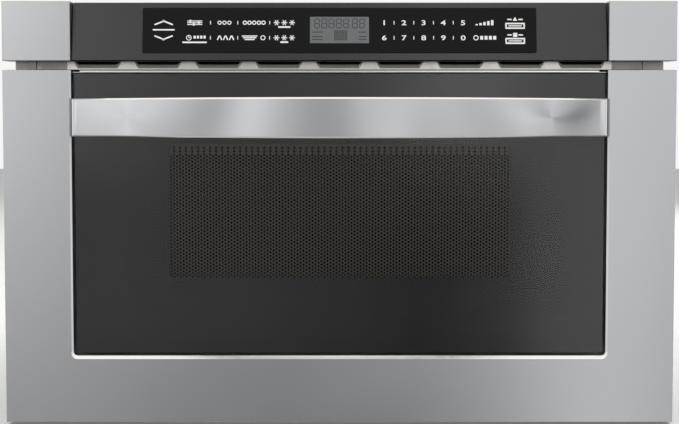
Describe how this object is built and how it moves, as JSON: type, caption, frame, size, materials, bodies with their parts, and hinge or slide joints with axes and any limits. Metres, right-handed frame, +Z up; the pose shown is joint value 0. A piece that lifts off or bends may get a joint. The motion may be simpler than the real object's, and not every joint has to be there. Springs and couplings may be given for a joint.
{
  "type": "microwave drawer",
  "caption": "Built-in microwave drawer with a dark glass front, a bowed steel handle and a leaning control panel; the drawer pulls out on telescopic slides.",
  "frame": {"origin": "centre of the overall footprint, on the surface the base pan stands on", "axes": "+Z up, front facing -Y, +X to the right as seen from the front"},
  "size_m": [0.606, 0.673, 0.384],
  "materials": {
    "stainless": "brushed stainless steel",
    "polished_steel": "polished edge strip",
    "galvanised": "galvanised sheet",
    "grey_painted": "satin grey paint",
    "cavity_coating": "light oven coating",
    "door_glass": "dark tinted glass",
    "fascia_glass": "dark back-painted glass",
    "black_plastic": "moulded black plastic",
    "gloss_black": "gloss touch overlay",
    "lcd": "display window",
    "grey_plastic": "moulded grey plastic",
    "white_plastic": "natural acetal and nylon",
    "ceramic": "glass-ceramic tray",
    "screen_coating": "dark coated steel",
    "circuit_board": "green solder mask",
    "laminations": "varnished steel laminations",
    "aluminium": "mill finish"
  },
  "bodies": {
    "chassis": {"base_pan": "galvanised", "outer_case": "galvanised", "rear_panel": "galvanised", "front_plate": "grey_painted", "flange_left": "grey_painted", "flange_right": "grey_painted", "vent_grille": "grey_painted", "cavity_shell": "cavity_coating", "slide_outer_left": "galvanised", "slide_outer_right": "galvanised", "control_housing": "black_plastic", "control_board": "circuit_board", "end_cap_left": "stainless", "end_cap_right": "stainless", "fascia_glass": "fascia_glass", "touch_panel": "gloss_black", "lcd_display": "lcd", "waveguide": "galvanised", "magnetron": "aluminium", "stirrer_motor": "grey_plastic", "stirrer_cover": "white_plastic", "hv_transformer": "laminations", "hv_capacitor": "aluminium", "hv_diode": "black_plastic", "fan_shroud": "black_plastic", "fan_motor": "laminations", "air_duct": "grey_plastic", "cord_gland": "black_plastic", "noise_filter": "circuit_board", "thermal_cutout": "black_plastic", "cavity_lamp": "white_plastic", "switch_bracket": "galvanised", "switch_primary": "black_plastic", "switch_monitor": "black_plastic", "gear_motor": "grey_plastic", "motor_bracket": "galvanised"},
    "drawer": {"door_frame": "stainless", "door_glass": "door_glass", "glass_top_trim": "polished_steel", "door_inner_panel": "galvanised", "perforated_screen": "screen_coating", "choke_cover": "grey_plastic", "handle_bar": "stainless", "handle_mount_left": "stainless", "handle_mount_right": "stainless", "drawer_box": "cavity_coating", "ceramic_tray": "ceramic", "drive_rack": "white_plastic", "slide_inner_left": "galvanised", "slide_inner_right": "galvanised", "latch_hook_left": "white_plastic", "latch_hook_right": "white_plastic"},
    "left_slide": {"slide_middle_left": "galvanised"},
    "right_slide": {"slide_middle_right": "galvanised"},
    "pinion": {"drive_pinion": "white_plastic"},
    "fan": {"fan_blade": "black_plastic"},
    "stirrer": {"stirrer_antenna": "aluminium"},
    "primary_plunger": {"plunger_primary": "white_plastic"},
    "monitor_plunger": {"plunger_monitor": "white_plastic"}
  },
  "joints": [
    {"name": "drawer_slide", "type": "slide", "parent": "chassis", "child": "drawer", "axis": [0, -1, 0], "range_m": [0, 0.381]},
    {"name": "left_slide_run", "type": "slide", "parent": "chassis", "child": "left_slide", "axis": [0, -1, 0], "range_m": [0, 0.1905]},
    {"name": "right_slide_run", "type": "slide", "parent": "chassis", "child": "right_slide", "axis": [0, -1, 0], "range_m": [0, 0.1905]},
    {"name": "pinion_turn", "type": "hinge", "parent": "chassis", "child": "pinion", "pos_m": [0, -0.2285, 0.026], "axis": [1, 0, 0], "range_deg": [0, 1040]},
    {"name": "fan_spin", "type": "hinge", "parent": "chassis", "child": "fan", "pos_m": [-0.165, 0.2715, 0.312], "axis": [1, 0, 0], "continuous": true},
    {"name": "stirrer_spin", "type": "hinge", "parent": "chassis", "child": "stirrer", "pos_m": [0, -0.0245, 0.273], "axis": [0, 0, 1], "continuous": true},
    {"name": "primary_press", "type": "slide", "parent": "chassis", "child": "primary_plunger", "axis": [0, 1, 0], "range_m": [0, 0.0015], "stiffness_N_per_m": 600, "springref_m": -0.0005},
    {"name": "monitor_press", "type": "slide", "parent": "chassis", "child": "monitor_plunger", "axis": [0, 1, 0], "range_m": [0, 0.0015], "stiffness_N_per_m": 600, "springref_m": -0.0005}
  ],
  "couplings": [
    {"joint": "left_slide_run", "follows": "drawer_slide", "ratio": 0.5},
    {"joint": "right_slide_run", "follows": "drawer_slide", "ratio": 0.5},
    {"joint": "pinion_turn", "follows": "drawer_slide", "rad_per_m": 47.619}
  ]
}
